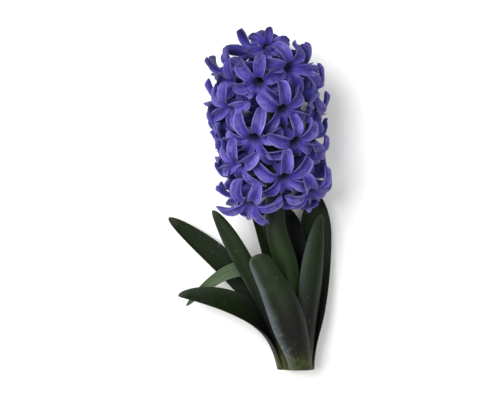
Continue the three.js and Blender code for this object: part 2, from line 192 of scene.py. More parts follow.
class Finish:
    def __init__(self, name):
        self.material = bpy.data.materials.new(name)
        self.material.use_nodes = True
        self.tree = self.material.node_tree
        self.shader = self.tree.nodes["Principled BSDF"]

    def plug(self, target, value):
        if isinstance(value, Wire):
            self.tree.links.new(value.socket, target)
        else:
            target.default_value = value

    def node(self, kind, settings=None, sockets=None, output=0):
        made = self.tree.nodes.new(kind)
        for key, value in (settings or {}).items():
            setattr(made, key, value)
        for key, value in (sockets or {}).items():
            self.plug(made.inputs[key], value)
        return Wire(self, made.outputs[output])

    def across(self):
        uv = self.node("ShaderNodeUVMap", {"uv_map": "alongPiece"})
        return self.node("ShaderNodeSeparateXYZ", None, {0: uv}, 0)

    def along(self):
        uv = self.node("ShaderNodeUVMap", {"uv_map": "alongPiece"})
        return self.node("ShaderNodeSeparateXYZ", None, {0: uv}, 1)

    def mark(self, name):
        return self.node("ShaderNodeAttribute", {"attribute_name": name}, None, "Fac")

    def place(self):
        return self.node("ShaderNodeTexCoord", None, None, "Object")

    def point(self, x, y, z):
        return self.node("ShaderNodeCombineXYZ", None, {0: x, 1: y, 2: z})

    def noise(self, at, scale, detail, roughness=0.5):
        return self.node("ShaderNodeTexNoise", None,
                         {"Vector": at, "Scale": scale, "Detail": detail, "Roughness": roughness})

    def grain(self, scale, detail, roughness=0.5):
        # noise that is fixed to the object
        return self.noise(self.place(), scale, detail, roughness)

    def blend(self, share, under, over):
        return self.node("ShaderNodeMix", {"data_type": "RGBA"}, {0: share, 6: under, 7: over}, 2)

    def coat(self, under, mask, look):
        # a look is a colour and the share at which it covers where its mask is 1
        colour, share = look
        return self.blend(mask * share, under, paint(*colour))

    def relief(self, height, depth, strength):
        return self.node("ShaderNodeBump", None,
                         {"Height": height, "Distance": depth, "Strength": strength})

    def use(self, **values):
        for name, value in values.items():
            self.plug(self.shader.inputs[name.replace("_", " ")], value)
        return self.material


def paint(red, green, blue):
    # a colour named by its three 0 to 255 screen values, as the shader's linear numbers
    def linear(value):
        share = value / 255
        return share / 12.92 if share <= 0.04045 else ((share + 0.055) / 1.055) ** 2.4
    return (linear(red), linear(green), linear(blue), 1.0)


# The stalk's middle line, and the directions round it

stalk = {
    "cutHeight": 10.7, "rise": 22, "bow": 0.35, "lean": 16.2, "leanPower": 1.25,
    "footRight": 2.2, "footPower": 3,
    "cutRadius": 5.1, "middleRadius": 7.0, "middleAt": 55, "headRadius": 5.7, "tipRadius": 2.0,
    "topOfScape": 96, "topOfRachis": 180, "jointGap": 0.3,
    "sways": ((30, 58, 1.8), (58, 84, -3.5), (86, 112, 1.7)),
    "sides": 48, "rings": 72, "cutRows": 6, "tipRows": 4, "ribs": 9, "ribDepth": 0.012,
}


def stalkAt(y):
    # it leans left by a power of the length that is left, from a foot that is a little to the
    # right, with a few smooth sideways steps, and bows up a little
    t = np.asarray(y, float) / flowerLength
    left = np.maximum(0, 1 - t)
    x = stalk["footRight"] * left ** stalk["footPower"]
    x = x - stalk["lean"] * (1 - left ** stalk["leanPower"])
    x = x + sum(step * smooth(low, high, t * flowerLength) for low, high, step in stalk["sways"])
    z = stalk["cutHeight"] + stalk["rise"] * t * (1 + stalk["bow"] * (1 - t))
    return vec(x, t * flowerLength, z)


def stalkDirection(y):
    y = np.asarray(y, float)
    return unit(stalkAt(y + 0.5) - stalkAt(y - 0.5))


def inCutFace(azimuth):
    # the direction at an azimuth round the cut face: 0 is up, 90 is right
    turn = radians(azimuth)
    return vec(np.sin(turn), 0.0, np.cos(turn))


def outward(y, azimuth):
    return squareTo(stalkDirection(y), inCutFace(azimuth))


def stalkRadius(y):
    swollen = mix(stalk["cutRadius"], stalk["middleRadius"], smooth(0, stalk["middleAt"], y))
    atHead = mix(swollen, stalk["headRadius"], smooth(stalk["middleAt"], stalk["topOfScape"], y))
    top = stalk["topOfScape"]
    tapered = np.clip((y - top) / (stalk["topOfRachis"] - top), 0, 1)
    return mix(atHead, stalk["tipRadius"], tapered)


def stalkSurface(low, high, endRows):
    # Circles square to the middle line, with shallow ribs that run lengthwise. A few rows at
    # each end shrink to the middle, which closes it. The first circle lies in the cut face.
    climb = np.linspace(low, high, stalk["rings"])
    y = np.concatenate([np.full(endRows, low), climb, np.full(endRows, high)])
    inward = np.linspace(0, 1, endRows, endpoint=False)
    width = np.concatenate([inward, np.ones(stalk["rings"]), inward[::-1]])
    azimuth = np.linspace(0, 360, stalk["sides"] + 1)
    rib = 1 + stalk["ribDepth"] * np.cos(radians(azimuth * stalk["ribs"]))
    out = outward(y[:, None], azimuth[None, :])
    if low == 0:
        atCut = (y == 0)[:, None, None]
        out = np.where(atCut, inCutFace(azimuth)[None, :, :], out)
    radius = (stalkRadius(y) * width)[:, None] * rib[None, :]
    points = stalkAt(y)[:, None, :] + out * radius[..., None]
    uv = vec(azimuth[None, :] / 360, (y[:, None] - low) / (high - low))
    cut = np.concatenate([1 - inward, np.zeros(stalk["rings"] + endRows)])[:, None]
    return points, uv, cut


# Florets: where each sits. Rise along the stalk, azimuth, tilt, turn of its star, size, and
# how far its tepals curl back, from 0 in a bud to 1 in a full bloom.

shownFlorets = [
    (110, -33, -21, -42, 1.02, 0.84), (110, 46, -12, -20, 0.94, 0.9),
    (105, -78, -8, -18, 0.76, 0.5), (107, 90, -16, -8, 0.78, 0.7),
    (117, 10, -5, 6, 1.0, 1.0), (114, -86, 2, -5, 0.76, 0.45),
    (123, -46, 2, -20, 0.94, 0.85), (123, 72, 2, -12, 0.84, 0.7),
    (125, -108, 8, -15, 0.82, 0.5), (134, 29, 0, 8, 0.98, 1.0),
    (132, -74, 6, -15, 0.88, 0.5), (138, -21, 0, -35, 1.0, 0.95),
    (139, -98, 10, -22, 0.94, 0.4), (142, 88, 6, -10, 0.9, 0.6),
    (152, 16, 2, 4, 1.0, 1.0), (152, -60, 8, -25, 0.94, 0.7),
    (152, -106, 12, -12, 0.98, 0.4), (156, 76, 10, -18, 0.94, 0.6),
    (162, -12, 16, -15, 0.98, 0.9), (164, -46, 14, 5, 0.84, 0.6),
    (167, 34, 22, 20, 0.94, 0.85), (165, -88, 20, -20, 0.94, 0.35),
    (174, 6, 52, -8, 0.7, 0.3), (167, 86, 22, -30, 0.84, 0.5),
    (169, -68, 26, -12, 0.8, 0.5), (172, 40, 46, 20, 0.66, 0.5),
    (170, -150, 48, -24, 0.82, 0.6),
]
hiddenFlorets = {
    "count": 10, "firstAt": 105, "lastAt": 170, "middleAzimuth": 180, "azimuthSpread": 54,
    "turn": -122, "tilt": (-10, 36), "roll": -9.5, "rollSpread": 12, "topSize": 0.74,
    "shrinkFrom": 0.62, "curl": (0.9, 0.45),
}
tepalCount = 6
tepalTurn = 360 / tepalCount
floret = {
    "sink": 1.2, "pedicel": 7.5, "tube": 16.5, "elbowAt": 0.45, "elbowLift": 0.4,
    "mouthRadius": 3.9, "throatRadius": 3.0, "mouthAlong": 0.4, "lipRoundness": 6,
    "notchDepth": 1.0, "notchFrom": 0.8, "lobes": 0.05, "lobesFrom": (0.3, 0.6),
    "wallAt": (0.0, 0.02, 0.2, 0.3, 0.36, 0.43, 0.52, 0.62, 0.74, 0.85, 0.93),
    "wallRadius": (0.0, 1.2, 1.15, 1.3, 2.0, 3.0, 3.5, 3.45, 3.25, 3.35, 3.65),
    "throatDown": (1.4, 3.2, 5.6, 8.0, 9.6, 10.2),
    "throatWide": (2.75, 2.45, 2.35, 2.2, 1.4, 0.0),
}
tepal = {
    "length": 17, "lengthSpread": 0.1, "halfWidth": (3.8, 4.4), "rootWidth": 0.6,
    "widestAt": 0.48, "tipPower": 1.9, "sway": 0.14, "fan": 7, "fannedBy": 0.3,
    "startAngle": (30, 36), "endAngle": (146, 172), "bendPower": 0.66, "bendSpread": 0.25,
    "topCurl": 50, "topwardFrom": 0.4, "closedBy": (24, 80), "angleSpread": 22,
    "rootInset": 0.45, "joinBy": 0.16, "tipCup": 30, "cupFrom": 0.8,
    "channel": 0.72, "hood": 0.35, "hoodFrom": (0.6, 0.95), "twist": 24,
    "wave": 0.5, "waves": 1.3, "waveFrom": (0.1, 0.5),
    "groove": 0.3, "grooveWidth": 0.22, "grooveFrom": (0.05, 0.3),
    "thickness": 0.8, "edgeRoundness": 8, "tipThinning": 0.6,
    "rim": 0.2, "rimAt": 0.88, "rimWidth": 0.1, "rows": 14, "columns": 10,
}
# where on the head the tepals' tips turn navy with age, which is at its top and its left side,
# and where painted shade darkens the florets towards the head's top
ageing = {
    "top": (158, 176), "topShare": 0.85, "side": (-60, -100), "sideShare": 0.45,
    "spread": 0.2, "shadeToTop": (140, 172),
}
pressSoftness = 2.2


def pressed(points):
    # what would go under the surface is squeezed flat along it, by a soft corner at height 0
    z = points[..., 2] / pressSoftness
    flat = pressSoftness * np.logaddexp(0, z)
    return vec(points[..., 0], points[..., 1], flat)


def aboveTable(points):
    return vec(points[..., 0], points[..., 1], np.maximum(points[..., 2], 0))


def hiddenRows():
    # the side that lies down: azimuths swing to and fro in turn, tilts grow to the top
    h = hiddenFlorets
    i = np.arange(h["count"])
    share = i / (h["count"] - 1)
    return np.stack([
        mix(h["firstAt"], h["lastAt"], share),
        h["middleAzimuth"] + h["azimuthSpread"] * np.sin(radians(i * h["turn"])),
        mix(h["tilt"][0], h["tilt"][1], share ** 2),
        h["roll"] + h["rollSpread"] * draw(i, "roll"),
        mix(1, h["topSize"], smooth(h["shrinkFrom"], 1, share)),
        mix(*h["curl"], share),
    ], axis=-1)


class Florets:
    # Many florets at once, as arrays whose first four axes are floret, tepal, row, column.
    def __init__(self, table, first):
        rise, azimuth, tilt, self.roll, self.size, self.curl = [
            column[:, None, None, None] for column in table.T]
        self.index = (first + np.arange(len(table)))[:, None, None, None]
        out = outward(rise, azimuth)
        along = stalkDirection(rise)
        lean = radians(tilt)[..., None]
        heading = out * np.cos(lean) + along * np.sin(lean)
        self.root = stalkAt(rise) + out * (stalkRadius(rise) - floret["sink"])[..., None]
        reach = ((floret["pedicel"] + floret["tube"]) * self.size)[..., None]
        lift = squareTo(heading, along) * reach * floret["elbowLift"]
        self.elbow = self.root + heading * reach * floret["elbowAt"] + lift
        self.mouth = self.root + heading * reach
        self.axis = unit(self.mouth - self.elbow)
        self.up = squareTo(self.axis, along)
        self.side = np.cross(self.axis, self.up)
        self.rise, self.azimuth = rise, azimuth

    def lineAt(self, t):
        # the middle line is a quadratic Bezier curve from the root to the mouth
        t = t[..., None]
        return self.root * (1 - t) ** 2 + self.elbow * 2 * t * (1 - t) + self.mouth * t ** 2

    def besideLine(self, t, degreesRound, radius, forward):
        # a point off the middle line, at an angle round it that is 0 towards the head's top
        k = t[..., None]
        tangent = unit((self.elbow - self.root) * (1 - k) + (self.mouth - self.elbow) * k)
        across = unit(np.cross(tangent, self.up))
        top = np.cross(across, tangent)
        turn = radians(degreesRound)[..., None]
        size = self.size[..., None]
        return (self.lineAt(t) + (top * np.cos(turn) + across * np.sin(turn))
                * radius[..., None] * size + tangent * forward[..., None] * size)


def tubeWall(florets, k, t, u, radius):
    # rings of the bell: six shallow lobes, one behind each tepal, and a notch between tepals
    lobe = np.cos(radians(tepalTurn * u)) - 0.5
    lobed = radius * (1 + floret["lobes"] * lobe * smooth(*floret["lobesFrom"], t))
    notch = -floret["notchDepth"] * u ** 2 * smooth(floret["notchFrom"], 1, t)
    turn = florets.roll + tepalTurn * k + tepalTurn / 2 * u
    return florets.besideLine(t, turn, lobed, notch)


def addUp(rate, s):
    # the running sum of a rate along the rows, by the mean of each two neighbours
    steps = (rate[:, :, 1:] + rate[:, :, :-1]) / 2 * np.diff(s, axis=2)
    return np.concatenate([0 * steps[:, :, :1], np.cumsum(steps, axis=2)], axis=2)


def tepalWall(florets, k, s, u, side):
    # The midline leaves the mouth forwards and curls back: its angle to the bell's axis grows
    # by a power of the length, more so in a tepal that points to the head's top, and falls
    # again at the cupped tip. Across it lies a channel with a groove, a waved edge and a
    # twist. side is 1 in front, -1 behind, and both meet at the edge and the tip, where the
    # thickness runs out.
    inner = k % 2
    piece = florets.index * tepalCount + k
    size = florets.size
    closing = 1 - florets.curl
    start = radians(np.where(inner, *tepal["startAngle"][::-1]) - tepal["closedBy"][0] * closing)
    spread = tepal["angleSpread"] * draw(piece, "endAngle")
    topward = smooth(tepal["topwardFrom"], 1, np.cos(radians(florets.roll + tepalTurn * k)))
    end = radians(np.where(inner, *tepal["endAngle"][::-1]) - tepal["closedBy"][1] * closing
                  + tepal["topCurl"] * topward * florets.curl + spread)
    length = tepal["length"] * size * (1 + tepal["lengthSpread"] * draw(piece, "length"))
    bend = tepal["bendPower"] * (1 + tepal["bendSpread"] * draw(piece, "bend"))
    angle = mix(start, end, s ** bend) - radians(tepal["tipCup"]) * smooth(tepal["cupFrom"], 1, s)
    radial = (floret["mouthRadius"] - tepal["rootInset"]) * size + addUp(np.sin(angle), s) * length
    forward = addUp(np.cos(angle), s) * length
    fan = tepal["fan"] * draw(piece, "fan") * smooth(0, tepal["fannedBy"], s)
    turn = radians(florets.roll + tepalTurn * k + fan)[..., None]
    out = florets.up * np.cos(turn) + florets.side * np.sin(turn)
    across = np.cross(florets.axis, out)
    face = (florets.axis * np.sin(angle)[..., None] - out * np.cos(angle)[..., None])
    twist = radians(tepal["twist"] * draw(piece, "twist") * s * s)[..., None]
    turnedAcross = across * np.cos(twist) + face * np.sin(twist)
    turnedFace = face * np.cos(twist) - across * np.sin(twist)
    swell = mix(tepal["rootWidth"], 1, smooth(0, tepal["widestAt"], s))
    pastWidest = np.clip((s - tepal["widestAt"]) / (1 - tepal["widestAt"]), 0, 1)
    taper = np.sqrt(np.maximum(0, 1 - pastWidest ** tepal["tipPower"]))
    halfWidth = np.where(inner, *tepal["halfWidth"][::-1]) * size * swell * taper
    sway = tepal["sway"] * length * draw(piece, "sway") * s * s
    hollow = tepal["channel"] + tepal["hood"] * smooth(*tepal["hoodFrom"], s)
    hollow = halfWidth * hollow * u ** 2
    ripple = np.sin(2 * math.pi * (tepal["waves"] * s + draw(piece, "wave"))) * np.abs(u) ** 3
    ripple = tepal["wave"] * size * ripple * taper * smooth(*tepal["waveFrom"], s)
    groove = tepal["groove"] * size * bump(0, tepal["grooveWidth"], u)
    groove = groove * taper * smooth(*tepal["grooveFrom"], s)
    rim = 1 + tepal["rim"] * bump(tepal["rimAt"], tepal["rimWidth"], np.abs(u))
    rounded = np.sqrt(np.maximum(0, 1 - u ** tepal["edgeRoundness"]))
    half = 0.5 * tepal["thickness"] * size * rounded * rim * taper ** tepal["tipThinning"]
    base = (florets.mouth + out * radial[..., None] + florets.axis * forward[..., None]
            + across * sway[..., None] + turnedAcross * (halfWidth * u)[..., None]
            + turnedFace * (hollow + ripple - groove)[..., None])
    return base, turnedFace * (half * side)[..., None]


def floretMarks(florets, k, inFront):
    # what the petals' look needs to know: the side, each tepal's tone, each floret's age, and how
    # much painted shade falls on it towards the head's top
    age = (ageing["topShare"] * smooth(*ageing["top"], florets.rise)
           + ageing["sideShare"] * smooth(*ageing["side"], florets.azimuth)
           + ageing["spread"] * draw(florets.index, "age"))
    return {
        "inFront": inFront[None, None, :, None],
        "tone": draw(florets.index * tepalCount + k, "tone"),
        "shadeToTop": smooth(*ageing["shadeToTop"], florets.rise),
        "age": np.clip(age, 0, 1),
    }


def floretSurface(table, first):
    # Each sixth of a floret is one grid: up the outside of the pedicel and the bell, up the
    # back of the tepal, over its tip, down its front and down the throat to its floor.
    florets = Florets(table, first)
    k = np.arange(tepalCount)[None, :, None, None]
    u = np.sin(np.linspace(-1, 1, tepal["columns"] + 1) * math.pi / 2)[None, None, None, :]
    wallAt = np.array(floret["wallAt"])[None, None, :, None]
    wallRadius = np.array(floret["wallRadius"])[None, None, :, None]
    outside = tubeWall(florets, k, wallAt, u, wallRadius)

    climb = np.sin(np.linspace(0, 1, tepal["rows"] + 1) * math.pi / 2)[None, None, :, None]
    edge = np.abs(u) ** floret["lipRoundness"]
    meeting = (floret["mouthRadius"] + floret["throatRadius"]) / 2
    atMouth = np.ones_like(climb)
    joined = smooth(0, tepal["joinBy"], climb)[..., None]

    def bladeSide(side, lipRadius):
        lip = tubeWall(florets, k, atMouth, u, mix(lipRadius, meeting, edge))
        base, offset = tepalWall(florets, k, climb, u, side)
        return aboveTable(pressed(mix(lip, base, joined)) + offset * joined)

    back = bladeSide(-1, floret["mouthRadius"])
    front = bladeSide(1, floret["throatRadius"])
    down = np.array(floret["throatDown"])[None, None, :, None]
    wide = np.array(floret["throatWide"])[None, None, :, None]
    reach = floret["pedicel"] + floret["tube"]
    throat = tubeWall(florets, k, 1 - down / reach, u, wide)

    shape = (len(table), tepalCount)
    def full(part, rows):
        return np.broadcast_to(part, (*shape, rows, tepal["columns"] + 1, 3))
    wallRows, throatRows = len(floret["wallAt"]), len(floret["throatDown"])
    bladeRows = tepal["rows"] + 1
    points = np.concatenate([
        full(pressed(outside), wallRows), full(back, bladeRows),
        full(front[:, :, -2::-1], bladeRows - 1), full(pressed(throat), throatRows),
    ], axis=2)

    mouthV = floret["mouthAlong"]
    onBlade = mix(mouthV, 1, climb.ravel())
    v = np.concatenate([
        np.array(floret["wallAt"]) * mouthV, onBlade, onBlade[-2::-1],
        mouthV * (1 - np.array(floret["throatDown"]) / reach),
    ])
    inFront = np.concatenate([np.zeros(wallRows + bladeRows), np.ones(bladeRows - 1 + throatRows)])
    whole = points.shape[:-1]
    uv = vec(np.broadcast_to((u + 1) / 2, whole), np.broadcast_to(v[None, None, :, None], whole))
    return points, uv, floretMarks(florets, k, inFront)


petalStreaks = {
    "front": ((38, 27, 110), (86, 73, 166)), "behind": ((46, 40, 124), (76, 72, 164)),
}
petalCoats = {
    "cloud": ((118, 109, 178), 0.65), "edge": ((132, 124, 190), 0.68),
    "core": ((38, 25, 112), 1.0), "vein": ((32, 22, 100), 0.45),
    "ring": ((46, 30, 140), 0.55), "throat": ((20, 20, 18), 0.95),
    "edgeBehind": ((112, 106, 180), 0.5), "coreBehind": ((30, 28, 96), 0.7),
    # the bell coat is painted shade between the florets
    "bell": ((30, 26, 88), 0.8), "pedicel": ((34, 38, 36), 1.0),
    # the next coat is random dark patches plus painted shade towards the head's top
    "mottledAndShaded": ((34, 24, 104), 1.0), "oldTip": ((18, 16, 52), 0.8),
}
petalSteps = {    # where each mask rises: from a tepal's middle to its edge, or from its foot
    "streaks": (0.32, 0.66), "streaksBehind": (0.3, 0.72), "cloud": (0.42, 0.68),
    "edge": (0.66, 1.0), "edgeFrom": (0.03, 0.25),
    "core": (0.05, 0.6), "coreFrom": (0.0, 0.3), "coreTo": (0.7, 1.0),
    "vein": (0.03, 0.2), "veinTo": (0.6, 0.95), "ring": (0.1, 0.5), "throat": (-0.1, 0.2),
    "bell": (0.1, 0.42), "pedicel": (0.04, 0.16), "oldTip": (0.45, 1.0),
}
petalGrain = {    # scale, detail and roughness
    "patches": (90.0, 3.0, 0.5), "mottle": (620.0, 3.0, 0.6), "cells": (2600.0, 1.0, 0.5),
}


def petalFinish():
    # Violet-blue with a paler edge, a dark streaked middle and a dark vein down it in front,
    # bluer behind, with painted shade on the backs of the bells near their foot. The throat is
    # dark olive, deepened to near black as painted shade in the tube, with an indigo ring round
    # it. Fine streaks run lengthwise under soft patches, painted shade darkens the florets to the
    # head's top, old tips go navy.
    f = Finish("petal violet blue")
    c, s = petalCoats, petalSteps
    across, along = f.across(), f.along()
    fromMiddle = abs(across * 2 - 1)
    onTepal = (along - floret["mouthAlong"]) / (1 - floret["mouthAlong"])
    inFront, tone, shadeToTop, age = [f.mark(name) for name in ("inFront", "tone", "shadeToTop", "age")]
    streaksAt = f.point(across * 9 + tone * 9, along * 2.5, age * 7 + tone * 3)
    streaks = f.noise(streaksAt, 1.0, 4.0, 0.7)
    clouds = f.noise(f.point(across * 2.2 + tone * 17, along * 7, tone * 5), 1.0, 3.0, 0.6)
    patches, mottle, cells = [f.grain(*petalGrain[name]) for name in petalGrain]

    frayed = (streaks - 0.5) * 0.5    # shifts the masks along the streaks
    edge = (fromMiddle + frayed * 0.4).step(*s["edge"]) * onTepal.step(*s["edgeFrom"])
    core = (1 - (fromMiddle + frayed).step(*s["core"])) * onTepal.step(*s["coreFrom"])
    core = core * (1 - (onTepal + frayed).step(*s["coreTo"]))
    vein = (1 - (fromMiddle + frayed * 0.3).step(*s["vein"])) * (1 - onTepal.step(*s["veinTo"]))
    ring = 1 - (onTepal + frayed * 0.5).step(*s["ring"])
    throat = 1 - (onTepal + frayed * 0.4).step(*s["throat"])
    dark, light = [paint(*colour) for colour in petalStreaks["front"]]
    front = f.blend(streaks.step(*s["streaks"]), dark, light)
    front = f.coat(front, clouds.step(*s["cloud"]), c["cloud"])
    front = f.coat(front, edge, c["edge"])
    front = f.coat(front, core * (0.7 + tone * 0.3), c["core"])
    front = f.coat(front, vein, c["vein"])
    front = f.coat(front, ring, c["ring"])
    # the throat's dark olive colour, deepened to near black as painted shade in the tube
    front = f.coat(front, throat, c["throat"])

    dark, light = [paint(*colour) for colour in petalStreaks["behind"]]
    behind = f.blend(streaks.step(*s["streaksBehind"]), dark, light)
    behind = f.coat(behind, edge, c["edgeBehind"])
    behind = f.coat(behind, core, c["coreBehind"])
    # painted shade on the backs of the bells near their foot, between the florets
    behind = f.coat(behind, 1 - along.step(*s["bell"]), c["bell"])
    behind = f.coat(behind, 1 - along.step(*s["pedicel"]), c["pedicel"])

    colour = f.blend(inFront, behind, front)
    # random dark patches and mottle, plus painted shade that grows to the head's top
    darkness = (patches - 0.5) * 1.2 + (mottle - 0.5) * 0.9 + tone * 0.18 + shadeToTop * 0.3 + 0.17
    colour = f.coat(colour, darkness, c["mottledAndShaded"])
    colour = f.coat(colour, age * (onTepal + frayed).step(*s["oldTip"]), c["oldTip"])
    return f.use(
        Base_Color=colour,
        Roughness=0.48 + streaks * 0.2,
        Normal=f.relief(streaks * 0.7 + cells * 0.3, 0.00025, 0.7),
        Sheen_Weight=0.08,
        Sheen_Roughness=0.5,
        Specular_IOR_Level=0.3,
    )


# colours of the stalk's dark and light lines, and whether its foot is pale; the second look is a
# near-black painted shade for the rachis between the florets
stalkLooks = {
    "stalk green": ((11, 26, 2), (25, 44, 5), 1), "stalk dusky": ((20, 20, 30), (34, 34, 44), 0),
}
# the first coat is the head's painted shadow on the top of the stalk
stalkCoats = {"headShadow": ((16, 18, 14), 1.0), "foot": ((150, 166, 92), 0.6)}
stalkSteps = {"lines": (0.3, 0.7), "headShadow": (0.66, 1.0), "foot": (0, 0.12), "cut": (0, 0.05)}
fleshColours = {
    "stalk": ((176, 190, 128), (120, 140, 78)),
    "leaf": ((178, 192, 130), (120, 142, 80)),
}


def cutFlesh(f, piece, low, high):
    # the pale wet flesh of a cut face, with dark pores
    flesh, pore = [paint(*colour) for colour in fleshColours[piece]]
    return f.blend(f.grain(1500.0, 1.0).step(low, high), flesh, pore)


def stalkFinish(name, low, high, hasFoot):
    # Green with darker lengthwise lines, the head's painted shadow near the top, pale at the foot
    # and in the cut
    f = Finish(name)
    c, s = stalkCoats, stalkSteps
    across, along, cut = f.across(), f.along(), f.mark("cut")
    lines = f.noise(f.point(across * 60, along * 6, 0), 1.0, 3.0, 0.6)
    patches = f.grain(60.0, 3.0)
    colour = f.blend(lines.step(*s["lines"]), paint(*low), paint(*high))
    # the head's painted shadow on the stalk's top
    colour = f.coat(colour, along.step(*s["headShadow"]) * (patches * 0.8 + 0.4), c["headShadow"])
    colour = f.coat(colour, (1 - along.step(*s["foot"])) * hasFoot, c["foot"])
    colour = f.blend(cut.step(*s["cut"]), colour, cutFlesh(f, "stalk", 0.55, 0.7))
    ribs = (across * 2 * math.pi * stalk["ribs"]).sine() * 0.3 + lines
    return f.use(
        Base_Color=colour,
        Roughness=0.42 + lines * 0.16,
        Normal=f.relief(ribs, 0.0002, 0.5),
        Specular_IOR_Level=0.16,
    )


# Leaves: a blade swept along a Bezier midline, wrapped round the stalk at its base

leafBlade = {
    "thickness": (1.7, 2.9, 0.9), "edge": 0.26, "edgeThinsBy": 0.2, "openBy": 0.42,
    "narrowFrom": 0.38, "tipPower": 2.1, "tipWidth": 0.02, "tipThinning": 0.35,
    "hood": 14, "hoodFrom": 0.8, "edgeRoundness": 0.42, "rowsPacked": 1.7,
    "groove": 0.22, "grooveWidth": 0.16, "grooveFrom": (0.1, 0.3), "grooveTo": (0.85, 1),
    "grooveOutside": 0.4, "ripple": 0.35, "rippleTurns": (9, 2.1, 1.5),
    "columns": 48, "rows": 84,
}
layerRadius = {"inner": 6.15, "middle": 8.15, "outer": 10.15}

# azimuth and wrap of the base, half width and curl of the blade, where it narrows and how
# far, the way its inner side looks at the tip, the handles and tip of its midline
leaves = {
    "leaf_front_broad": {
        "layer": "outer", "azimuth": 23, "wrap": 46, "halfWidth": 12.2, "curl": 56,
        "shoulder": 0.92, "tipShare": 0.7, "faceAt": (0.2, 0.3, -0.93),
        "path": ((5, 22, 30.6), (-10.6, 46, 38), (-22.6, 67, 38)),
    },
    "leaf_front_right": {
        "layer": "middle", "azimuth": 68, "wrap": 44, "halfWidth": 9.0, "curl": 38,
        "shoulder": 0.52, "tipShare": 0.8, "faceAt": (-0.2, 0.1, -0.95),
        "path": ((13.4, 27, 14.6), (9, 56, 26), (16.8, 91, 22)),
    },
    "leaf_left_slim": {
        "layer": "middle", "azimuth": -60, "wrap": 46, "halfWidth": 6.9, "curl": 44,
        "shoulder": 0.7, "tipShare": 1.0, "faceAt": (0.35, 0.2, -0.9),
        "path": ((-10, 28, 18), (-27.5, 60, 23), (-46.5, 93, 22)),
    },
    "leaf_left_arched": {
        "layer": "outer", "azimuth": -88, "wrap": 33, "halfWidth": 9.2, "curl": 32,
        "shoulder": 0.5, "tipShare": 1.0, "faceAt": (0.1, 0.6, 0.8),
        "path": ((-12, 24, 11.5), (-28, 44.5, 27), (-66.5, 43.5, 16)),
    },
    "leaf_left_long": {
        "layer": "outer", "azimuth": -160, "wrap": 33, "halfWidth": 8.0, "curl": 28,
        "shoulder": 0.5, "tipShare": 1.0, "faceAt": (-0.1, 0.1, 1),
        "path": ((-6, 34, 0.8), (-36, 62, 1.4), (-72.5, 88.7, 5)),
    },
    "leaf_left_drooping": {
        "layer": "middle", "azimuth": -148, "wrap": 31, "halfWidth": 5.2, "curl": 30,
        "shoulder": 0.6, "tipShare": 0.8, "faceAt": (-0.2, -0.4, 0.9),
        "path": ((-7, 68, 2.4), (-30, 73, 15), (-62, 37, 8)),
    },
    "leaf_right_upright": {
        "layer": "outer", "azimuth": 120, "wrap": 41, "halfWidth": 9.6, "curl": 27,
        "shoulder": 0.8, "tipShare": 1.0, "faceAt": (0.05, 0, 1),
        "path": ((12.2, 24, 4.2), (16.2, 58, 3.2), (12.9, 103.5, 5)),
    },
    "leaf_back_right": {
        "layer": "inner", "azimuth": 140, "wrap": 48, "halfWidth": 7.0, "curl": 28,
        "shoulder": 0.86, "tipShare": 0.9, "faceAt": (0.0, 0.1, 1),
        "path": ((7.5, 30, 7), (7.4, 62, 10.4), (-3.8, 94.2, 5.3)),
    },
    "leaf_back_left": {
        "layer": "inner", "azimuth": -114, "wrap": 44, "halfWidth": 6.8, "curl": 30,
        "shoulder": 0.6, "tipShare": 0.8, "faceAt": (0.15, 0.1, 1),
        "path": ((-9, 30, 9.2), (-5, 62, 9), (-24.5, 96, 6.4)),
    },
}


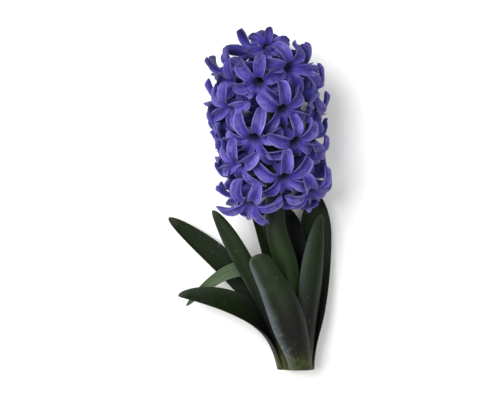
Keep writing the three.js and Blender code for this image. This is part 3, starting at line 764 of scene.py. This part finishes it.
def leafSurface(leaf, number):
    # Rows run from the cut to the tip, columns once round the blade: over its inner side and
    # back over the outer. A section is an arc of the leaf's curl, and its thickness falls to
    # the edges by a power of the sine, which rounds them. The first and last rows have no
    # thickness, so they close the cut and the tip.
    b = leafBlade
    climb = 1 - (1 - np.linspace(0, 1, b["rows"] + 1)) ** b["rowsPacked"]
    s = np.concatenate([[0], climb, [1]])[:, None]
    solid = np.concatenate([[0], np.ones(b["rows"] + 1), [0]])[:, None]
    turn = np.linspace(0, 2 * math.pi, b["columns"] + 1)[None, :]
    u = -np.cos(turn)
    side = np.sign(np.sin(turn)) * np.abs(np.sin(turn)) ** b["edgeRoundness"]

    start = stalkAt(0) + inCutFace(leaf["azimuth"]) * layerRadius[leaf["layer"]]
    p0, p1, p2, p3 = [np.array(p, float) for p in (start, *leaf["path"])]
    t = s[..., None]
    line = p0 * (1 - t) ** 3 + p1 * 3 * t * (1 - t) ** 2 + p2 * 3 * t * t * (1 - t) + p3 * t ** 3
    along = unit((p1 - p0) * (1 - t) ** 2 + (p2 - p1) * 2 * t * (1 - t) + (p3 - p2) * t * t)
    along = np.where(t == 0, np.array([0.0, 1.0, 0.0]), along)
    faceAtTip = unit(np.array(leaf["faceAt"], float))
    face = squareTo(along, mix(-inCutFace(leaf["azimuth"]), faceAtTip, smooth(0, 1, t)))
    across = np.cross(along, face)

    opened = smooth(0, b["openBy"], s)
    pastShoulder = np.clip((s - leaf["shoulder"]) / (1 - leaf["shoulder"]), 0, 1)
    taper = np.sqrt(np.maximum(b["tipWidth"] ** 2, 1 - pastShoulder ** b["tipPower"]))
    taper = taper * mix(1, leaf["tipShare"], smooth(b["narrowFrom"], 1, s))
    hood = b["hood"] * smooth(b["hoodFrom"], 1, s)
    curl = radians(mix(leaf["wrap"], leaf["curl"], opened) + hood)
    wrapped = layerRadius[leaf["layer"]] * radians(leaf["wrap"])
    halfWidth = mix(wrapped, leaf["halfWidth"], opened) * taper
    atBase, atMiddle, atTip = b["thickness"]
    thickness = mix(mix(atBase, atMiddle, smooth(0, 0.5, s)), atTip, smooth(0.5, 1, s))
    thickness = thickness * mix(b["tipThinning"], 1, taper)
    edge = mix(1, b["edge"], smooth(0, b["edgeThinsBy"], s))
    half = 0.5 * thickness * mix(1, edge, u * u) * side * solid
    groove = b["groove"] * bump(0, b["grooveWidth"], u) * smooth(*b["grooveFrom"], s)
    groove = groove * (1 - smooth(*b["grooveTo"], s)) * solid
    groove = groove * np.where(side > 0, 1, b["grooveOutside"])
    byRow, byLeaf, byColumn = b["rippleTurns"]
    ripple = b["ripple"] * np.sin(byRow * s + byLeaf * number + byColumn * u)
    ripple = ripple * np.abs(u) ** 3 * opened * taper
    bend = halfWidth / curl
    lift = bend - (bend - half) * np.cos(curl * u) - groove + ripple
    points = line + across * ((bend - half) * np.sin(curl * u))[..., None] + face * lift[..., None]
    uv = vec(turn / (2 * math.pi), s)
    cut = np.concatenate([[1], np.zeros(b["rows"] + 2)])[:, None]
    return aboveTable(points), uv, {"cut": cut}


leafCoats = {
    "vein": ((16, 24, 10), 1.0), "bloom": ((50, 60, 48), 1 / 3), "flankHighlight": ((92, 100, 104), 1.0),
    "edge": ((90, 98, 84), 0.3), "foot": ((92, 98, 50), 0.4), "flush": ((22, 15, 24), 1.0),
    "specks": ((96, 106, 84), 0.18), "tip": ((70, 68, 56), 0.4),
}
leafSteps = {    # where each mask rises: in its grain, across the blade or along it
    "inner": (-0.02, 0.02), "fine": (0.35, 0.7), "bloom": (0.38, 0.7), "flankHighlight": (0.3, 1.0),
    "edge": (0.96, 1.0), "foot": (0.02, 0.26), "flush": (0.3, 0.8), "flushed": (0.36, 0.54),
    "specks": (0.66, 0.74), "tip": (0.95, 1.0), "cut": (0, 0.5),
}
leafGrain = {    # scale, detail and roughness
    "patches": (46.0, 4.0, 0.55), "mottle": (260.0, 4.0, 0.6), "specks": (420.0, 2.0, 0.5),
}
leafVeins = 46    # how far the wave of the veins turns from the middle to an edge, in radians
# colours of the inner and the outer side, which veins, how much bloom and painted flank highlight,
# and how flushed and shiny it is
leafLooks = {
    "leaf dark green": ((14, 26, 6), (18, 32, 9), 3, 0.15, 0.85, 0.11),
    # the front leaf: the dark green with a strong painted highlight down one flank
    "leaf in front highlit": ((14, 26, 6), (22, 32, 14), 3, 0.9, 0.85, 0.11),
    # near black: painted shade for a leaf that lies in shadow behind the stalk
    "leaf dusky": ((3, 3, 9), (4, 4, 11), 5, 0.0, 0.0, 0.06),
    "leaf pale green": ((82, 98, 72), (82, 98, 72), 8, 0.0, 0.85, 0.11),
}
ownLook = {    # look and slot of the leaves that aren't plain dark green
    "leaf_front_broad": ("leaf in front highlit", "leaf"),
    # this leaf's look is painted shade
    "leaf_back_right": ("leaf dusky", "leaf"),
    "leaf_left_drooping": ("leaf pale green", "leaf_pale"),
}


def leafFinish(name, inner, outer, number, bloomAndHighlight, flushed, shine):
    # Dark green with fine veins that run lengthwise. A grey bloom lies in patches, and a grey
    # painted highlight lies down one flank of the outer side; one share sets how much of both. The
    # lower part has a purple flush, by the share flushed, the foot is yellow-green and the tip
    # dull.
    f = Finish(name)
    c, s = leafCoats, leafSteps
    around, along, cut = f.across(), f.along(), f.mark("cut")
    turn = around * 2 * math.pi
    side = (turn + math.pi / 2).sine()
    isInner = turn.sine().step(*s["inner"])
    veins = (side * leafVeins).sine() * 0.5 + 0.5
    fine = f.noise(f.point(around * 90, along * 5, number), 1.0, 3.0, 0.65)
    patches, mottle = f.grain(*leafGrain["patches"]), f.grain(*leafGrain["mottle"])

    bloom = patches.step(*s["bloom"]) * (0.8 - isInner * 0.6)
    # a painted highlight down one flank of the outer side, where light would catch it
    flankHighlight = ((patches - 0.5) * 0.6 - side).step(*s["flankHighlight"]) * (1 - isInner * 0.8)
    foot = 1 - (along + (fine - 0.5) * 0.3).step(*s["foot"])
    flush = 1 - (along + (mottle - 0.5) * 0.9).step(*s["flush"])
    flush = flush * mottle.step(*s["flushed"])
    flush = flush * (1 - foot * 0.5) * (flushed - flankHighlight * bloomAndHighlight * 0.5)
    tip = (along + (mottle - 0.5) * 0.08).step(*s["tip"])
    colour = f.blend(isInner, paint(*outer), paint(*inner))
    colour = f.coat(colour, veins * 0.2 + fine.step(*s["fine"]) * 0.25, c["vein"])
    colour = f.coat(colour, bloom * bloomAndHighlight, c["bloom"])
    colour = f.coat(colour, flankHighlight * bloomAndHighlight, c["flankHighlight"])
    colour = f.coat(colour, abs(side).step(*s["edge"]), c["edge"])
    colour = f.coat(colour, foot, c["foot"])
    colour = f.coat(colour, flush, c["flush"])
    colour = f.coat(colour, f.grain(*leafGrain["specks"]).step(*s["specks"]), c["specks"])
    colour = f.coat(colour, tip, c["tip"])
    colour = f.blend(cut.step(*s["cut"]), colour, cutFlesh(f, "leaf", 0.5, 0.7))
    return f.use(
        Base_Color=colour,
        Roughness=0.36 + fine * 0.16 + bloom * 0.12,
        Normal=f.relief(veins * 0.5 + fine * 0.5, 0.00016, 0.6),
        Specular_IOR_Level=shine,
    )


print("Stage 1: stalk")
green, inPaintedShade = [stalkFinish(name, *look) for name, look in stalkLooks.items()]
points, uv, cut = stalkSurface(0, stalk["topOfScape"], stalk["cutRows"])
makePiece("flowerStalk", aboveTable(points), uv, {"cut": cut}, green, ["flower_stalk"],
          flatRows=range(stalk["cutRows"]))
aboveJoint = stalk["topOfScape"] + stalk["jointGap"]
points, uv, cut = stalkSurface(aboveJoint, stalk["topOfRachis"], stalk["tipRows"])
# the rachis in the head is painted near black, as painted shade between the florets
makePiece("headStalk", aboveTable(points), uv, {"cut": 0.0}, inPaintedShade, ["flower_head"])

print("Stage 2: florets")
petal = petalFinish()
points, uv, marks = floretSurface(np.array(shownFlorets, float), 0)
makePiece("shownBells", points, uv, marks, petal, ["flower_head"])
points, uv, marks = floretSurface(hiddenRows(), len(shownFlorets))
makePiece("hiddenBells", points, uv, marks, petal, ["flower_head"])

print("Stage 3: leaves")
leafFinishes = {name: leafFinish(name, *look) for name, look in leafLooks.items()}
for number, (name, leaf) in enumerate(leaves.items()):
    points, uv, marks = leafSurface(leaf, number)
    look, slot = ownLook.get(name, ("leaf dark green", "leaf"))
    makePiece(name + "_blade", points, uv, marks, leafFinishes[look], [name], flatRows=[0])

print("Stage 4: surface, lights and camera")
studio = {
    "floorSize": 6.0, "floorDrop": 0.0001, "floorColour": (0.86, 0.86, 0.85, 1),
    "floorRoughness": 0.7,
    "lights": (    # name, place, size and power
        ("softKey", (-0.7, 0.3, 1.1), 1.2, 27.0),
        ("softFill", (0.5, -0.2, 1.2), 0.9, 6.0),
    ),
    "worldStrength": 0.42,
    "lens": 180, "cameraHeight": 1.474,
}


def layFloor():
    f = Finish("pale floor")
    mesh = bpy.data.meshes.new("paleFloor")
    h = studio["floorSize"] / 2
    z = -studio["floorDrop"]
    mesh.from_pydata([(-h, -h, z), (h, -h, z), (h, h, z), (-h, h, z)], [], [(0, 1, 2, 3)])
    look = f.use(Base_Color=studio["floorColour"], Roughness=studio["floorRoughness"])
    mesh.materials.append(look)
    floor = addObject("paleFloor", mesh)


def hangLight(name, place, size, power):
    light = bpy.data.lights.new(name, "AREA")
    light.shape = "DISK"
    light.size = size
    light.energy = power
    lamp = addObject(name, light)
    lamp.location = place
    lamp.rotation_euler = (-lamp.location).to_track_quat("-Z", "Y").to_euler()


def setCamera():
    # straight above the middle of the flower, with its head at the top of the picture
    cam = bpy.data.cameras.new("camera")
    cam.lens = studio["lens"]
    holder = addObject("camera", cam)
    holder.location = (0, 0, studio["cameraHeight"])
    bpy.context.scene.camera = holder


layFloor()
for name, place, size, power in studio["lights"]:
    hangLight(name, place, size, power)
setCamera()
world = bpy.data.worlds.new("studio")
world.use_nodes = True
background = world.node_tree.nodes["Background"].inputs
background["Color"].default_value = (1, 1, 1, 1)
background["Strength"].default_value = studio["worldStrength"]
bpy.context.scene.world = world
bpy.context.scene.view_settings.view_transform = "Standard"
